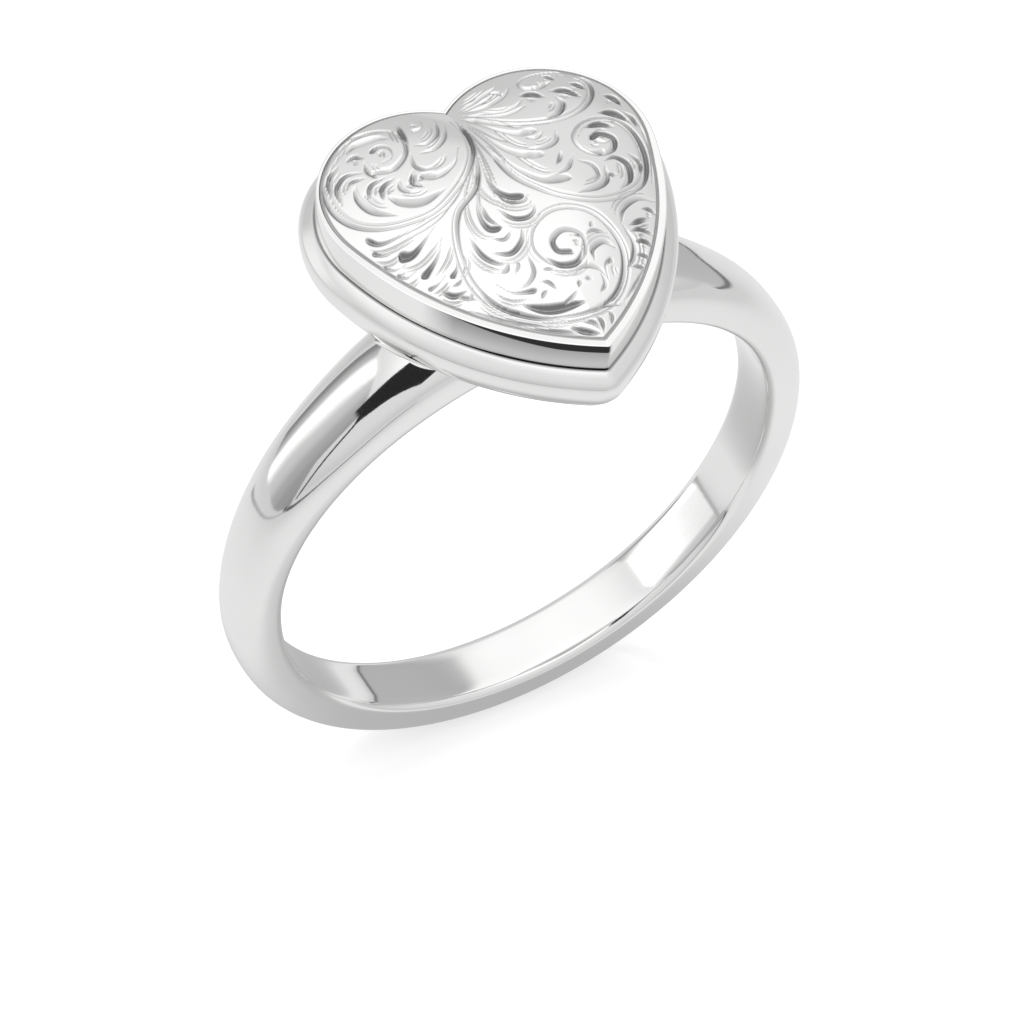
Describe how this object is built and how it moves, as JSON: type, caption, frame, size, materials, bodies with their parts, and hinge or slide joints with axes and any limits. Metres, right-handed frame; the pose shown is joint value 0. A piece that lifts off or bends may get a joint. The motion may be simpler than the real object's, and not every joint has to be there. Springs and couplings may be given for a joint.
{
  "type": "heart locket ring",
  "caption": "Silver finger ring with a small hinged heart-shaped box on top; a domed, scroll-engraved lid swings back on a hinge at the cleft.",
  "frame": {"origin": "centre of the finger bore, midway along its length", "axes": "+Y along the finger, away from the heart's tip; +Z from the finger up through the heart; +X to the wearer's right with the tip towards the viewer"},
  "size_m": [0.0198, 0.0118, 0.0229],
  "materials": {
    "band_silver": "mirror polished sterling silver",
    "case_silver": "mirror polished sterling silver outside, satin inside",
    "lid_silver": "bright-cut sterling silver",
    "engraved_silver": "hand-engraved, bright-cut sterling silver",
    "hinge_silver": "polished sterling silver tube and wire",
    "spring_silver": "satin spring-hard silver strip"
  },
  "bodies": {
    "ring": {"band": "band_silver", "case_floor": "case_silver", "case_wall": "case_silver", "case_bezel": "case_silver", "keepsake_frame": "case_silver", "case_knuckle_left": "hinge_silver", "case_knuckle_right": "hinge_silver", "hinge_pin": "hinge_silver"},
    "lid": {"lid_wall": "lid_silver", "lid_dome": "engraved_silver", "lid_knuckle": "hinge_silver", "catch_nib": "lid_silver"},
    "catch": {"catch_spring": "spring_silver"}
  },
  "joints": [
    {"name": "lid_hinge", "type": "hinge", "parent": "ring", "child": "lid", "pos_m": [0, 0.00645, 0.01015], "axis": [-1, 0, 0], "range_deg": [0, 105]},
    {"name": "catch_flex", "type": "hinge", "parent": "ring", "child": "catch", "pos_m": [0, -0.00305, 0.00957], "axis": [-1, 0, 0], "range_deg": [0, 5], "stiffness_Nm_per_rad": 0.0005}
  ]
}
